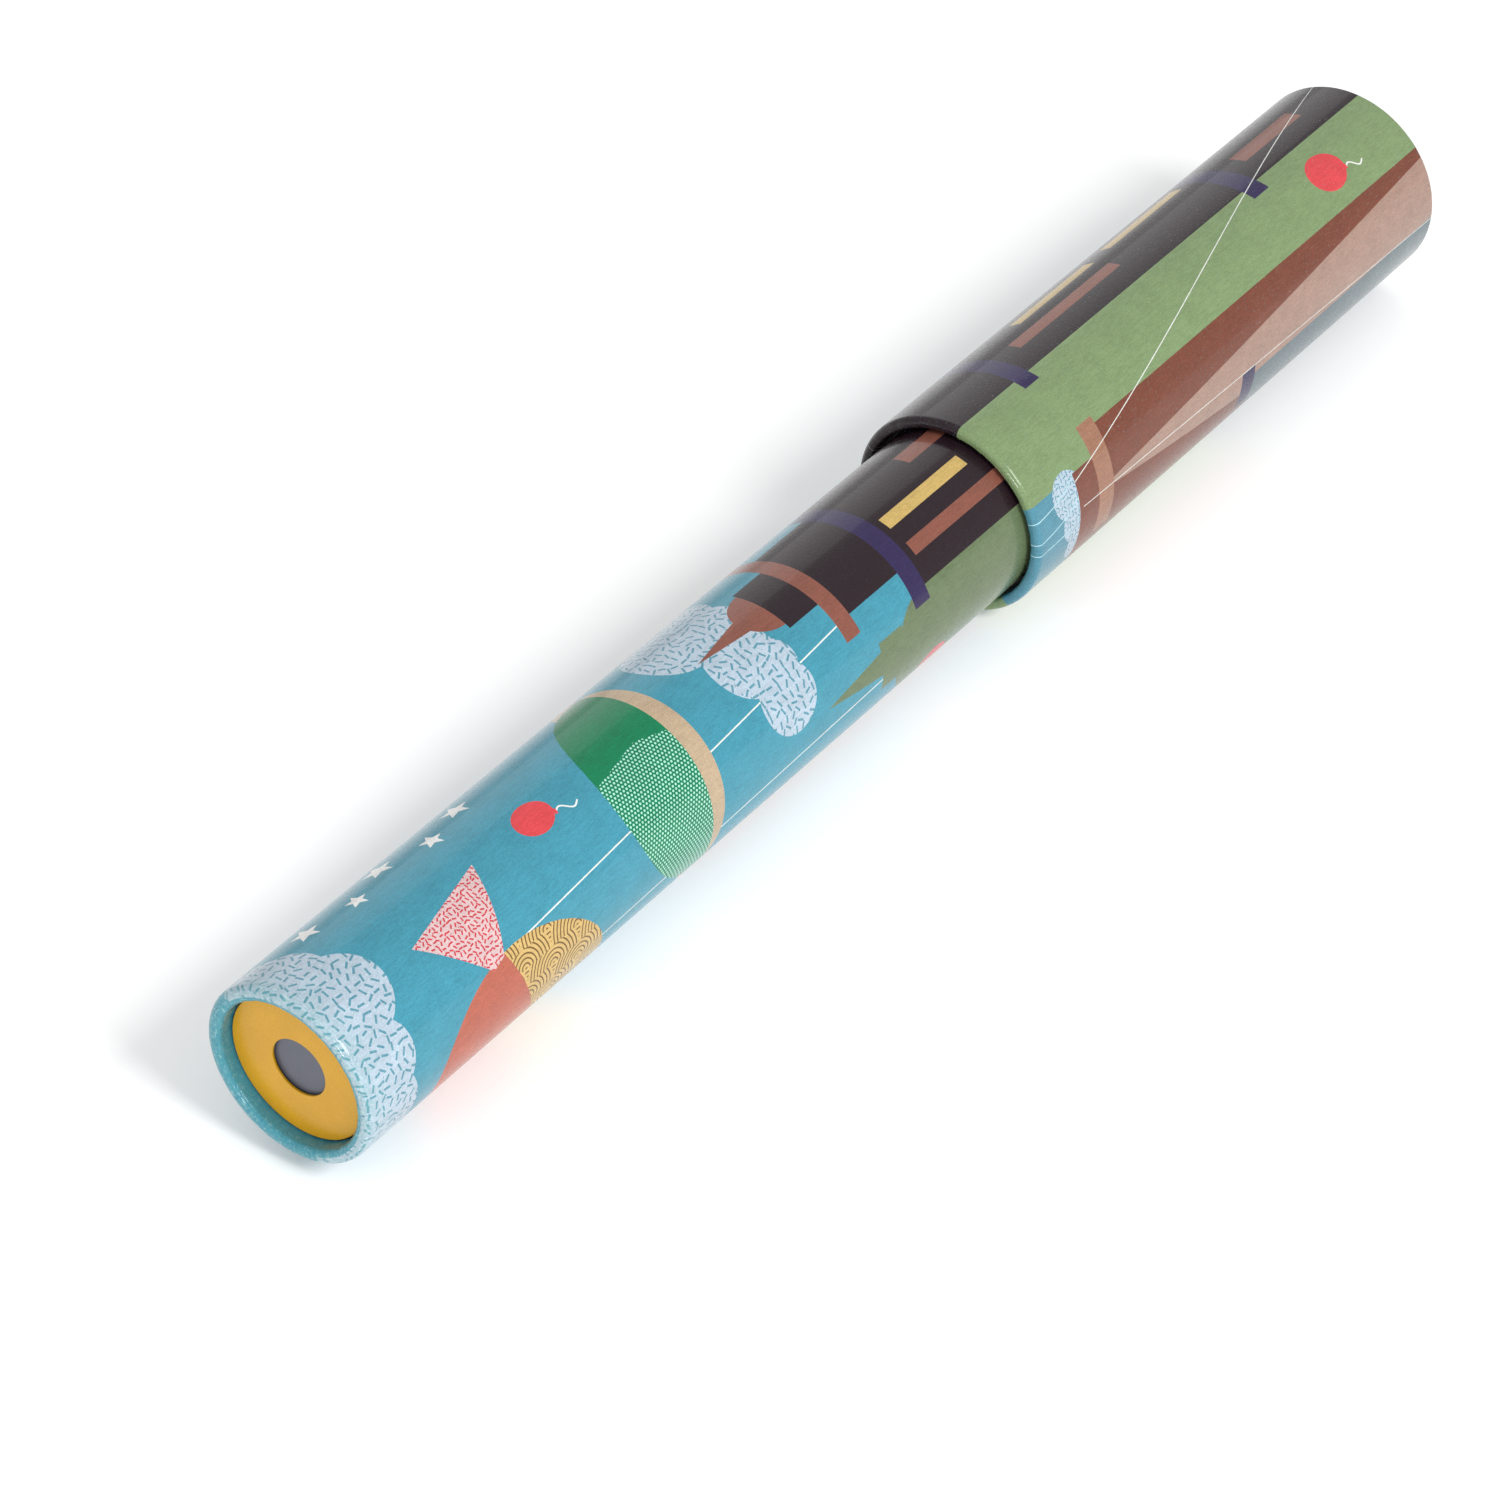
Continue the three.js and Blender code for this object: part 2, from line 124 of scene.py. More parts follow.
class Shader:
    """A node tree with short calls for the nodes that the materials here are made of."""

    def __init__(self, tree):
        self.tree = tree

    def add(self, kind, **settings):
        node = self.tree.nodes.new(kind)
        for name, value in settings.items():
            setattr(node, name, value)
        return node

    def put(self, socket, value):
        if isinstance(value, bpy.types.NodeSocket):
            self.tree.links.new(value, socket)
        else:
            socket.default_value = value

    def set(self, name, value):
        """Sets or links an input of the material's own Principled node."""
        self.put(self.tree.nodes["Principled BSDF"].inputs[name], value)

    def math(self, operation, first, second=0.0):
        node = self.add("ShaderNodeMath", operation=operation)
        self.put(node.inputs[0], first)
        self.put(node.inputs[1], second)
        return node.outputs[0]

    def ramp(self, value, low, high, to_low=0.0, to_high=1.0):
        """value moved from low..high to to_low..to_high, smoothly and clamped."""
        node = self.add("ShaderNodeMapRange", interpolation_type="SMOOTHSTEP")
        for name, given in zip(
            ("Value", "From Min", "From Max", "To Min", "To Max"),
            (value, low, high, to_low, to_high),
        ):
            self.put(node.inputs[name], given)
        return node.outputs["Result"]

    def mix(self, factor, first, second, blend="MIX"):
        node = self.add("ShaderNodeMix", data_type="RGBA", blend_type=blend)
        self.put(node.inputs["Factor"], factor)
        self.put(node.inputs["A"], first)
        self.put(node.inputs["B"], second)
        return node.outputs["Result"]

    def shaded(self, colour, shade):
        """A colour made lighter or darker by a factor near 1."""
        return self.mix(1.0, colour, self.join(shade, shade, shade), blend="MULTIPLY")

    def split(self, vector):
        node = self.add("ShaderNodeSeparateXYZ")
        self.put(node.inputs[0], vector)
        return node.outputs[0], node.outputs[1], node.outputs[2]

    def join(self, x, y, z=0.0):
        node = self.add("ShaderNodeCombineXYZ")
        for socket, value in zip(node.inputs, (x, y, z)):
            self.put(socket, value)
        return node.outputs[0]

    def scaled(self, vector, scale):
        """A vector times a vector, part by part."""
        node = self.add("ShaderNodeVectorMath", operation="MULTIPLY")
        self.put(node.inputs[0], vector)
        self.put(node.inputs[1], scale)
        return node.outputs[0]

    def millimetres(self):
        """The piece's own coordinates, in millimetres."""
        place = self.add("ShaderNodeTexCoord").outputs["Object"]
        return self.scaled(place, (1 / MM, 1 / MM, 1 / MM))

    def sheet(self):
        """The flat sheet's coordinates in millimetres: x along, y round."""
        return self.add("ShaderNodeUVMap", uv_map="sheet").outputs["UV"]

    def noise(self, vector, scale, detail=2.0, roughness=0.5):
        node = self.add("ShaderNodeTexNoise")
        self.put(node.inputs["Vector"], vector)
        self.put(node.inputs["Scale"], scale)
        self.put(node.inputs["Detail"], detail)
        self.put(node.inputs["Roughness"], roughness)
        return node.outputs["Fac"]

    def cells(self, vector, scale, randomness=1.0):
        node = self.add("ShaderNodeTexVoronoi")
        self.put(node.inputs["Vector"], vector)
        self.put(node.inputs["Scale"], scale)
        self.put(node.inputs["Randomness"], randomness)
        return node.outputs

    def bump(self, height, strength, distance):
        node = self.add("ShaderNodeBump")
        self.put(node.inputs["Height"], height)
        self.put(node.inputs["Strength"], strength)
        self.put(node.inputs["Distance"], distance)
        return node.outputs["Normal"]

    def ridges(self, vector, scale, detail=3.0):
        """Thin wandering lines: 1 along them, and falling off to 0 on both sides."""
        away = self.math("ABSOLUTE", self.math("SUBTRACT", self.noise(vector, scale, detail), 0.5))
        return self.ramp(away, 0.0, 0.09, 1.0, 0.0)


def new_material(name):
    """(material, its Shader)."""
    material = bpy.data.materials.new(name)
    material.use_nodes = True
    return material, Shader(material.node_tree)


# ---- Printed, gloss-laminated paper ----


def laminated_paper():
    """A node group that turns a flat ink colour into print on laminated paper."""
    tree = bpy.data.node_groups.new("laminated_paper", "ShaderNodeTree")
    face = tree.interface
    face.new_socket("Ink", in_out="INPUT", socket_type="NodeSocketColor")
    face.new_socket("Colour", in_out="OUTPUT", socket_type="NodeSocketColor")
    face.new_socket("Roughness", in_out="OUTPUT", socket_type="NodeSocketFloat")
    face.new_socket("Normal", in_out="OUTPUT", socket_type="NodeSocketVector")
    shader = Shader(tree)
    ink = shader.add("NodeGroupInput").outputs["Ink"]
    out = shader.add("NodeGroupOutput")
    place = shader.millimetres()
    wear = shader.add("ShaderNodeAttribute", attribute_name="wear").outputs["Fac"]

    grain = shader.noise(place, 4.5, detail=3.0, roughness=0.7)
    mottle = shader.noise(place, 0.16, detail=3.0)
    fibres = shader.noise(shader.scaled(place, (0.35, 1.6, 1.6)), 1.1, detail=4.0, roughness=0.65)
    shade = shader.math("ADD", shader.ramp(grain, 0.3, 0.7, 0.82, 1.18),
                        shader.ramp(mottle, 0.3, 0.7, -0.04, 0.04))
    shade = shader.math("ADD", shade, shader.ramp(fibres, 0.3, 0.7, -0.08, 0.08))
    printed = shader.shaded(ink, shade)

    # Bare paper shows where the print is rubbed off: in streaks round the rims, and as flecks.
    sheet = shader.sheet()
    scratch = shader.noise(shader.scaled(sheet, (1.6, 0.5, 1.0)), 1.9, detail=5.0, roughness=0.72)
    pleats = shader.noise(shader.scaled(sheet, (0.2, 1.6, 1.0)), 1.7, detail=3.0)
    streaks = shader.math("ADD", shader.math("MULTIPLY", scratch, 0.6), shader.math("MULTIPLY", pleats, 0.4))
    rubbed = shader.math("MULTIPLY", shader.ramp(streaks, 0.42, 0.58), shader.ramp(wear, 0.2, 1.0))
    flecks = shader.noise(shader.scaled(place, (0.8, 1.4, 1.4)), 1.9, detail=5.0, roughness=0.8)
    flecks = shader.math("MULTIPLY", shader.ramp(flecks, 0.57, 0.68), shader.ramp(wear, 0.0, 0.3))
    rubbed = shader.math("MULTIPLY", shader.math("MAXIMUM", rubbed, flecks), 0.55)
    tone = shader.noise(shader.scaled(sheet, (1.3, 0.5, 1.0)), 1.1, detail=3.0)
    bare = shader.mix(shader.ramp(tone, 0.50, 0.66), linear(RUBBED_TEAL), linear(RUBBED))
    colour = shader.mix(rubbed, printed, bare)

    wrinkles = shader.ridges(shader.scaled(place, (1.3, 0.8, 0.8)), 0.75)
    dimples = shader.noise(place, 1.5, detail=3.0, roughness=0.6)
    height = shader.math("ADD", shader.math("MULTIPLY", wrinkles, 1.1), shader.math("MULTIPLY", dimples, 0.4))
    gathered = shader.math("MULTIPLY", pleats, shader.ramp(wear, 0.3, 1.0, 0.0, 4.0))
    height = shader.math("ADD", height, gathered)
    normal = shader.bump(height, 0.35, 0.04 * MM)
    roughness = shader.math("ADD", shader.ramp(dimples, 0.3, 0.7, 0.20, 0.30),
                            shader.math("MULTIPLY", rubbed, 0.15))
    shader.put(out.inputs["Colour"], colour)
    shader.put(out.inputs["Roughness"], roughness)
    shader.put(out.inputs["Normal"], normal)
    return tree


PAPER_GROUP = laminated_paper()


def ink(name, colour, pattern=None, pattern_colour=None):
    """Printed paper in one colour, or two where pattern(shader) gives the second one's mask."""
    material, shader = new_material(name)
    group = shader.add("ShaderNodeGroup", node_tree=PAPER_GROUP)
    ground = linear(colour)
    if pattern:
        ground = shader.mix(pattern(shader), linear(colour), linear(pattern_colour))
    shader.put(group.inputs["Ink"], ground)
    shader.set("Base Color", group.outputs["Colour"])
    shader.set("Roughness", group.outputs["Roughness"])
    shader.set("Normal", group.outputs["Normal"])
    shader.set("IOR", 1.25)
    shader.set("Coat Weight", 0.3)
    shader.set("Coat Roughness", 0.08)
    return material


def dashes(cell, length, width):
    """A pattern of short strokes, each turned at random about its own cell's point."""

    def pattern(shader):
        cells = shader.cells(shader.sheet(), 1 / cell, randomness=0.45)
        away = shader.add("ShaderNodeVectorMath", operation="SUBTRACT")
        shader.put(away.inputs[0], shader.sheet())
        shader.put(away.inputs[1], cells["Position"])
        turn = shader.add("ShaderNodeVectorRotate", rotation_type="Z_AXIS")
        shader.put(turn.inputs["Vector"], away.outputs[0])
        shader.put(turn.inputs["Angle"], shader.math("MULTIPLY", shader.split(cells["Color"])[0], math.pi))
        along, across, _ = shader.split(turn.outputs[0])
        inside_length = shader.math("LESS_THAN", shader.math("ABSOLUTE", along), length / 2)
        inside_width = shader.math("LESS_THAN", shader.math("ABSOLUTE", across), width / 2)
        return shader.math("MULTIPLY", inside_length, inside_width)

    return pattern


def dots(spacing, radius):
    """A pattern of staggered dots."""

    def pattern(shader):
        along, around, _ = shader.split(shader.sheet())
        masks = []
        for shift in (0.0, 0.5):
            cell = [
                shader.math("SUBTRACT", shader.math("FRACT", shader.math("ADD", v, shift)), 0.5)
                for v in (
                    shader.math("DIVIDE", along, spacing),
                    shader.math("DIVIDE", around, spacing * math.sqrt(3)),
                )
            ]
            across = shader.math("MULTIPLY", cell[1], math.sqrt(3))
            distance = shader.add("ShaderNodeVectorMath", operation="LENGTH")
            shader.put(distance.inputs[0], shader.join(cell[0], across))
            masks.append(shader.math("LESS_THAN", distance.outputs["Value"], radius / spacing))
        return shader.math("MAXIMUM", *masks)

    return pattern


def scallops(width, rings):
    """Overlapping fans of concentric arcs, row over row."""

    def pattern(shader):
        along, around, _ = shader.split(shader.sheet())
        row_step = width / 4
        row = shader.math("FLOOR", shader.math("DIVIDE", around, row_step))
        mask = None
        for back in (3, 2, 1, 0):  # the lowest row lies on top
            this_row = shader.math("SUBTRACT", row, float(back))
            half = shader.math("MULTIPLY", shader.math("MODULO", this_row, 2.0), width / 2)
            offset = shader.math("FRACT", shader.math("DIVIDE", shader.math("ADD", along, half), width))
            across = shader.math("MULTIPLY", shader.math("SUBTRACT", offset, 0.5), width)
            up = shader.math("SUBTRACT", around, shader.math("MULTIPLY", this_row, row_step))
            distance = shader.add("ShaderNodeVectorMath", operation="LENGTH")
            shader.put(distance.inputs[0], shader.join(across, up))
            scaled = shader.math("DIVIDE", distance.outputs["Value"], width / 2)
            line = shader.math("LESS_THAN",
                               shader.math("FRACT", shader.math("MULTIPLY", scaled, rings)), 0.35)
            inside = shader.math("LESS_THAN", scaled, 1.0)
            if mask is None:
                mask = line
            else:
                pick = shader.add("ShaderNodeMix", data_type="FLOAT")
                shader.put(pick.inputs["Factor"], inside)
                shader.put(pick.inputs["A"], mask)
                shader.put(pick.inputs["B"], line)
                mask = pick.outputs["Result"]
        return mask

    return pattern


PLAIN_INKS = {
    "turquoise": TURQUOISE,
    "green": GREEN,
    # the green painted darker as shade
    "tube_green": TUBE_GREEN_PAINTED_SHADE,
    "brown": BROWN,
    "strip_brown": STRIP_BROWN,
    "beige": BEIGE,
    "black": BLACK,
    "purple": PURPLE,
    "yellow": YELLOW,
    "red": RED,
    "grey_blue": GREY_BLUE,
    "hill_green": HILL_GREEN,
    "tan": TAN,
    "terracotta": TERRACOTTA,
    "white": WHITE,
    "sky_blue": SKY_BLUE,
    "line_blue": LINE_BLUE,
    "sand": SAND,
    "cream": LINE_CREAM,
}
PATTERNED_INKS = {
    "cloud": (CLOUD, dashes(2.0, 1.75, 0.5), CLOUD_DASH),
    "small_cloud": (CLOUD, dashes(1.15, 1.0, 0.3), CLOUD_DASH),
    "hill_dots": (HILL_GREEN, dots(0.92, 0.27), HILL_DOT),
    "scallops": (SCALLOP_TAN, scallops(16.0, 8.0), SCALLOP_LINE),
    "pink": (PINK, dashes(1.05, 0.95, 0.36), PINK_DASH),
}
INKS = {name: ink("ink_" + name, colour) for name, colour in PLAIN_INKS.items()}
INKS.update({name: ink("ink_" + name, *look) for name, look in PATTERNED_INKS.items()})


def plain_paper_back():
    """The unprinted back of the wraps."""
    material, shader = new_material("paper_back")
    flecks = shader.noise(shader.millimetres(), 2.0, detail=4.0)
    shade = shader.ramp(flecks, 0.3, 0.7, 0.92, 1.04)
    colour = shader.shaded(linear(PAPER_BACK), shade)
    shader.set("Base Color", colour)
    shader.set("Normal", shader.bump(flecks, 0.3, 0.05 * MM))
    shader.set("Roughness", 0.8)
    return material


PAPER_BACK_MATERIAL = plain_paper_back()


# ---- Outlines on the flat sheet, in millimetres ----


def rect(x0, x1, s0, s1):
    return [(x0, s0), (x1, s0), (x1, s1), (x0, s1)]


def oval(x, s, radius_x, radius_s=None, start=0, end=360):
    """An oval, or the part of it between two angles in degrees."""
    radius_s = radius_s or radius_x
    whole = end - start >= 360
    steps = max(6, round((end - start) / 7.5))
    angles = [math.radians(start + (end - start) * i / steps) for i in range(steps + (not whole))]
    return [(x + radius_x * math.cos(a), s + radius_s * math.sin(a)) for a in angles]


def stroke(points, width):
    """A line of even width through points."""
    sides = ([], [])
    for i, point in enumerate(points):
        before, after = points[max(i - 1, 0)], points[min(i + 1, len(points) - 1)]
        length = math.hypot(after[0] - before[0], after[1] - before[1])
        across = (-(after[1] - before[1]) / length, (after[0] - before[0]) / length)
        for side, sign in zip(sides, (1, -1)):
            side.append((point[0] + sign * across[0] * width / 2, point[1] + sign * across[1] * width / 2))
    return sides[0] + sides[1][::-1]


def wavy(start, length, height, slope=-0.25, steps=14):
    """The points of a balloon's string."""
    points = []
    for i in range(steps + 1):
        along = i / steps
        points.append((start[0] + length * along,
                       start[1] + slope * length * along + height * math.sin(2.2 * math.pi * along)))
    return points


def cloud(lobes, colour="cloud"):
    """Round lobes, each (x, s, radius)."""
    return [(colour, oval(*lobe)) for lobe in lobes]


def balloon(x, s, radius_x, radius_s, colour="red"):
    """A balloon on its side, with its knot and a loose string."""
    tip = x + radius_x
    return [
        ("white", stroke(wavy((tip, s - 1.9), 5.4, 0.7), 0.36)),
        (colour, oval(x, s, radius_x, radius_s)),
        (colour, [(tip - 1.3, s - 2.0), (tip - 0.1, s - 2.6), (tip + 0.2, s - 1.5), (tip - 0.5, s - 0.6)]),
    ]


def star(x, s, radius, points=5):
    """A plain white star."""
    outline = []
    for i in range(2 * points):
        reach = radius if i % 2 == 0 else 0.45 * radius
        angle = math.pi * i / points
        outline.append((x + reach * math.cos(angle), s + reach * math.sin(angle)))
    return [("white", outline)]


def hill(x, s, width, height, crest):
    """A green hill seen side on, with a dotted field from crest down and a sandy path behind it."""
    path = oval(x - 4, s, 9.0, height / 2 + 4)
    slope = oval(x, s, width, height / 2, 90, 270)
    edge = x - width * math.sqrt(1 - (2 * (crest - s) / height) ** 2)
    field = [(x, crest), (x - 0.35 * width, crest + 2.5), (edge, crest)] + [p for p in slope if p[1] < crest]
    return [("tan", path), ("hill_green", slope), ("hill_dots", field)]


def tower(start, end, low, high, colour, cap, spire):
    """A tower on its side: spire, dome and stacked blocks that step out towards end."""
    middle = (low + high) / 2
    dome_end = start + spire + 7
    block_end = dome_end + 10
    return [
        (cap, [(start, middle), (start + spire, middle + 2.0), (start + spire, middle - 2.0)]),
        (cap, oval(dome_end, middle, 8, 0.4 * (high - low) / 2, 90, 270)),
        (colour, rect(dome_end, block_end, middle - 0.3 * (high - low), middle + 0.3 * (high - low))),
        (colour, rect(block_end, end, low, high)),
    ]


def line(start, end, width=0.32, colour="cream"):
    """A straight printed line."""
    return [(colour, stroke([start, end], width))]


# Places along the sheets that lie past their edges, so that what ends there fills the sheet.
PAST_RIM = -25
PAST_TUBE = 240
PAST_SLEEVE = 200


def tube_art():
    """The viewing tube's picture, from the bottom layer to the top."""
    art = []
    art += cloud([(1, 8, 9), (2, 2, 11.5), (8, -8, 11), (5, -16, 9)])
    art += cloud([(5, -23, 10.5), (2, -35, 12.5), (0, -47, 9)])
    art += [("turquoise", rect(PAST_RIM, -1.3, -76, 51))]
    art += line((50, -21.9), (162, -15.0))
    art += line((58, -37.0), (236, -30.3))
    art += [("terracotta", oval(47, -42, 26, 20.5))]
    fan = oval(47, -42, 26, 20.5, -78, 97)
    art += [("scallops", [(51.5, -42)] + fan)]
    art += [("pink", [(27, -9.6), (51.3, -4.4), (43.6, -22.3), (40, -23.4)])]
    art += balloon(69.3, -5.2, 5.0, 3.9)
    for x, s, radius in ((19, 10.5, 3.4), (31, 7.5, 2.6), (42, 12.0, 3.6), (53, 7.0, 2.8), (64, 10.5, 3.4)):
        art += star(x, s, radius)
    art += cloud([(127, 6.5, 10), (136, 12, 9), (139, 3, 6), (134, -8, 9), (137.5, -20, 8), (139, -13, 6)])
    art += hill(107.6, -14, 23.0, 58.0, -9.0)
    # A green tower behind, in the green ink painted darker as shade, and a black one in front of it.
    art += [
        ("tube_green", [(147, -28.7), (167, -26.0), (167, -32.0)]),
        ("tube_green", rect(166, 174, -36, -24.2)),
        ("tube_green", oval(184, -33, 13, 12.6, 90, 270)),
        ("tube_green", rect(184, PAST_TUBE, -45.6, -20.4)),
        ("red", oval(187, -42.0, 4.6, 4.0)),
        ("strip_brown", [(125.8, -2.7), (142, -0.2), (142, -4.6)]),
        ("strip_brown", oval(149.0, -1.8, 8.6, 6.4, 90, 270)),
        ("black", rect(148.4, 158.4, -9.4, 5.5)),
        ("black", rect(162, 180, -15.0, 10.8)),
        ("black", rect(184, PAST_TUBE, -20.6, 26)),
        ("strip_brown", rect(158, 162.6, -19.4, 17.5)),
        ("purple", rect(179.5, 184.6, -23.8, 15.2)),
        ("yellow", rect(186.6, 214.6, -7.1, -3.9)),
        ("strip_brown", rect(186.6, 222, -14.7, -11.4)),
        ("strip_brown", rect(206.5, 232, 2.2, 6.5)),
    ]
    # The side that faces away: a cloud, a balloon and two towers.
    art += cloud([(62, 36, 9), (72, 40, 10), (80, 33, 7), (68, 30, 6)])
    art += balloon(30, 34, 5.0, 3.9, "yellow")
    art += tower(118, PAST_TUBE, 32, 46, "purple", "strip_brown", 14)
    art += [("yellow", rect(158 + 18 * i, 168 + 18 * i, 37, 40)) for i in range(4)]
    art += tower(84, PAST_TUBE, -70, -54, "brown", "strip_brown", 16)
    art += [("beige", rect(128 + 16 * i, 136 + 16 * i, -66, -58)) for i in range(6)]
    return art


def sleeve_art():
    """The sleeve's picture, from the bottom layer to the top."""
    art = []
    art += [("sky_blue", rect(PAST_RIM, 15.6, -56, -25.7))]
    art += cloud([(12.5, -29, 5.4), (15, -36, 5.6), (16, -43, 4.5)], "small_cloud")
    art += [
        ("brown", rect(15.6, PAST_SLEEVE, -56, -25.6)),
        ("brown", rect(28.6, PAST_SLEEVE, -26, -20.1)),
        ("beige", [(22, -34.0), (PAST_SLEEVE, -19.5), (PAST_SLEEVE, -37.6), (85, -38.4), (80, -41.9)]),
        ("grey_blue", [(85, -38.4), (PAST_SLEEVE, -37.6), (PAST_SLEEVE, -56), (85, -56)]),
        ("purple", rect(80, 85.2, -46.5, -36.3)),
        ("sand", rect(23, 28.6, -45.5, -18.4)),
        ("black", rect(PAST_RIM, PAST_SLEEVE, -1.9, 36)),
        ("purple", rect(21.2, 26.4, -4.9, 38.5)),
        ("purple", rect(111.5, 117.4, -5.3, 38.5)),
        ("yellow", rect(43.5, 72.5, 12.0, 15.4)),
        ("yellow", rect(80, 109, 12.8, 16.4)),
        ("strip_brown", rect(33, 72, 4.4, 7.8)),
        ("strip_brown", rect(123, 146.6, 4.4, 9.0)),
    ]
    art += line((15.6, -27.6), (PAST_SLEEVE, 20.4), 0.22)
    art += line((17, -34.3), (PAST_SLEEVE, -39.4), 0.2)
    art += [("line_blue", stroke(oval(-2, -24.4, 18, 5.2, 270, 350), 0.24))]
    art += [("line_blue", stroke(oval(-4, -29.8, 20, 5.2, 270, 345), 0.24))]
    art += line((-8, -38.2), (12, -37.4), 0.24, "line_blue")
    art += balloon(133, -11.2, 6.0, 4.9)
    # The side that faces away: clouds, a balloon and a tower on turquoise and green.
    art += [("turquoise", rect(PAST_RIM, PAST_SLEEVE, *band)) for band in ((36, 59.5), (-90, -66))]
    art += cloud([(40, 44, 8), (50, 47, 9), (58, 42, 6.5), (47, 40, 6)])
    art += cloud([(118, -78, 9), (128, -74, 10), (136, -79, 7)])
    art += balloon(96, 47, 6.0, 4.9, "yellow")
    art += tower(60, PAST_SLEEVE, -84, -68, "black", "strip_brown", 14)
    art += [("yellow", rect(96 + 16 * i, 106 + 16 * i, -78, -75)) for i in range(4)]
    art += [("grey_blue", rect(85, PAST_SLEEVE, -66, -56)), ("green", rect(PAST_RIM, 85, -66, -56))]
    return art


# ---- Rolling a flat sheet round a tube ----


class RolledPaper:
    """The path of a paper's face along a tube, over its rims and into its mouths.

    Distances along it are x on the outer wall, and run on past the rims at the same scale.
    """

    def __init__(self, node):
        low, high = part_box(node)
        self.start = low.x
        self.length = (high.x - low.x) / MM
        self.radius = (high.z - low.z) / 2 / MM
        flat = math.cos(math.pi / CAD_SIDES) / MM  # the frame's corners stand out past its flats
        points = [(v.co.x / MM - low.x / MM, math.hypot(v.co.y, v.co.z - AXIS_Z) * flat)
                  for v in NODES[node].data.vertices]
        mouth = min(r for _, r in points)
        rim = [r for x, r in points if x < TOUCHING]
        lip = [x for x, r in points if r < mouth + TOUCHING]
        far_lip = [self.length - x for x in lip if x > self.length / 2]
        outer, inner = self.radius - max(rim), min(rim) - mouth
        self.wall_start = outer
        self.near = [
            ("arc", (outer, self.radius - outer), outer, 90),
            ("line", (0.0, self.radius - outer), (0.0, -1.0), max(rim) - min(rim)),
            ("arc", (inner, mouth + inner), inner, 180),
            ("line", (inner, mouth), (1.0, 0.0), max(x for x in lip if x < self.length / 2) - inner),
        ]
        self.far = self.near[:3] + [self.near[3][:3] + (max(far_lip) - inner,)] if far_lip else []

    @staticmethod
    def piece_length(piece):
        return piece[2] * math.pi / 2 if piece[0] == "arc" else piece[3]

    def span(self):
        """The lowest and highest distance along the path."""
        low = self.wall_start - sum(self.piece_length(p) for p in self.near)
        if not self.far:
            return low, self.length
        return low, self.length - self.wall_start + sum(self.piece_length(p) for p in self.far)

    def folded(self, pieces, distance):
        """The point and outward normal at a distance past the wall's end, as (x, r) pairs."""
        for piece in pieces:
            size = self.piece_length(piece)
            if distance <= size or piece is pieces[-1]:
                break
            distance -= size
        if piece[0] == "line":
            _, start, (dx, dr), _ = piece
            return (start[0] + dx * distance, start[1] + dr * distance), (dr, -dx)
        _, centre, radius, start_angle = piece
        angle = math.radians(start_angle + 90 * distance / size)
        normal = (math.cos(angle), math.sin(angle))
        return (centre[0] + radius * normal[0], centre[1] + radius * normal[1]), normal

    def at(self, along):
        """((x, r), (normal x, normal r)) at a distance along the path, in millimetres."""
        if along < self.wall_start:
            return self.folded(self.near, self.wall_start - along)
        if self.far and along > self.length - self.wall_start:
            (x, r), (nx, nr) = self.folded(self.far, along - self.length + self.wall_start)
            return (self.length - x, r), (-nx, nr)
        return (along, self.radius), (0.0, 1.0)

    def stations(self):
        """Distances along the path where the mesh needs a row of points."""
        low, high = self.span()
        wall_end = self.length - self.wall_start if self.far else high
        rows = [self.wall_start + (wall_end - self.wall_start) * i / 16 for i in range(17)]
        for pieces, start, sign in ((self.near, self.wall_start, -1), (self.far, wall_end, 1)):
            place = start
            for piece in pieces:
                size = self.piece_length(piece)
                steps = 6 if piece[0] == "arc" else max(1, round(size / 1.2))
                rows += [place + sign * size * (i + 1) / steps for i in range(steps)]
                place += sign * size
        return sorted(rows)


def inside(point, outline):
    """True if a point lies in an outline."""
    x, s = point
    found = False
    for (x0, s0), (x1, s1) in zip(outline, outline[1:] + outline[:1]):
        if (s0 > s) != (s1 > s) and x < x0 + (x1 - x0) * (s - s0) / (s1 - s0):
            found = not found
    return found


def clipped(outline, low, high):
    """An outline cut to a box on the sheet, by each of the box's four sides in turn."""
    for axis in (0, 1):
        for limit, sign in ((low[axis], 1), (high[axis], -1)):
            result = []
            for a, b in zip(outline, outline[1:] + outline[:1]):
                da, db = sign * (a[axis] - limit), sign * (b[axis] - limit)
                if da >= 0:
                    result.append(a)
                if (da >= 0) != (db >= 0):
                    share = da / (da - db)
                    result.append((a[0] + (b[0] - a[0]) * share, a[1] + (b[1] - a[1]) * share))
            outline = result
            if not outline:
                return []
    return outline


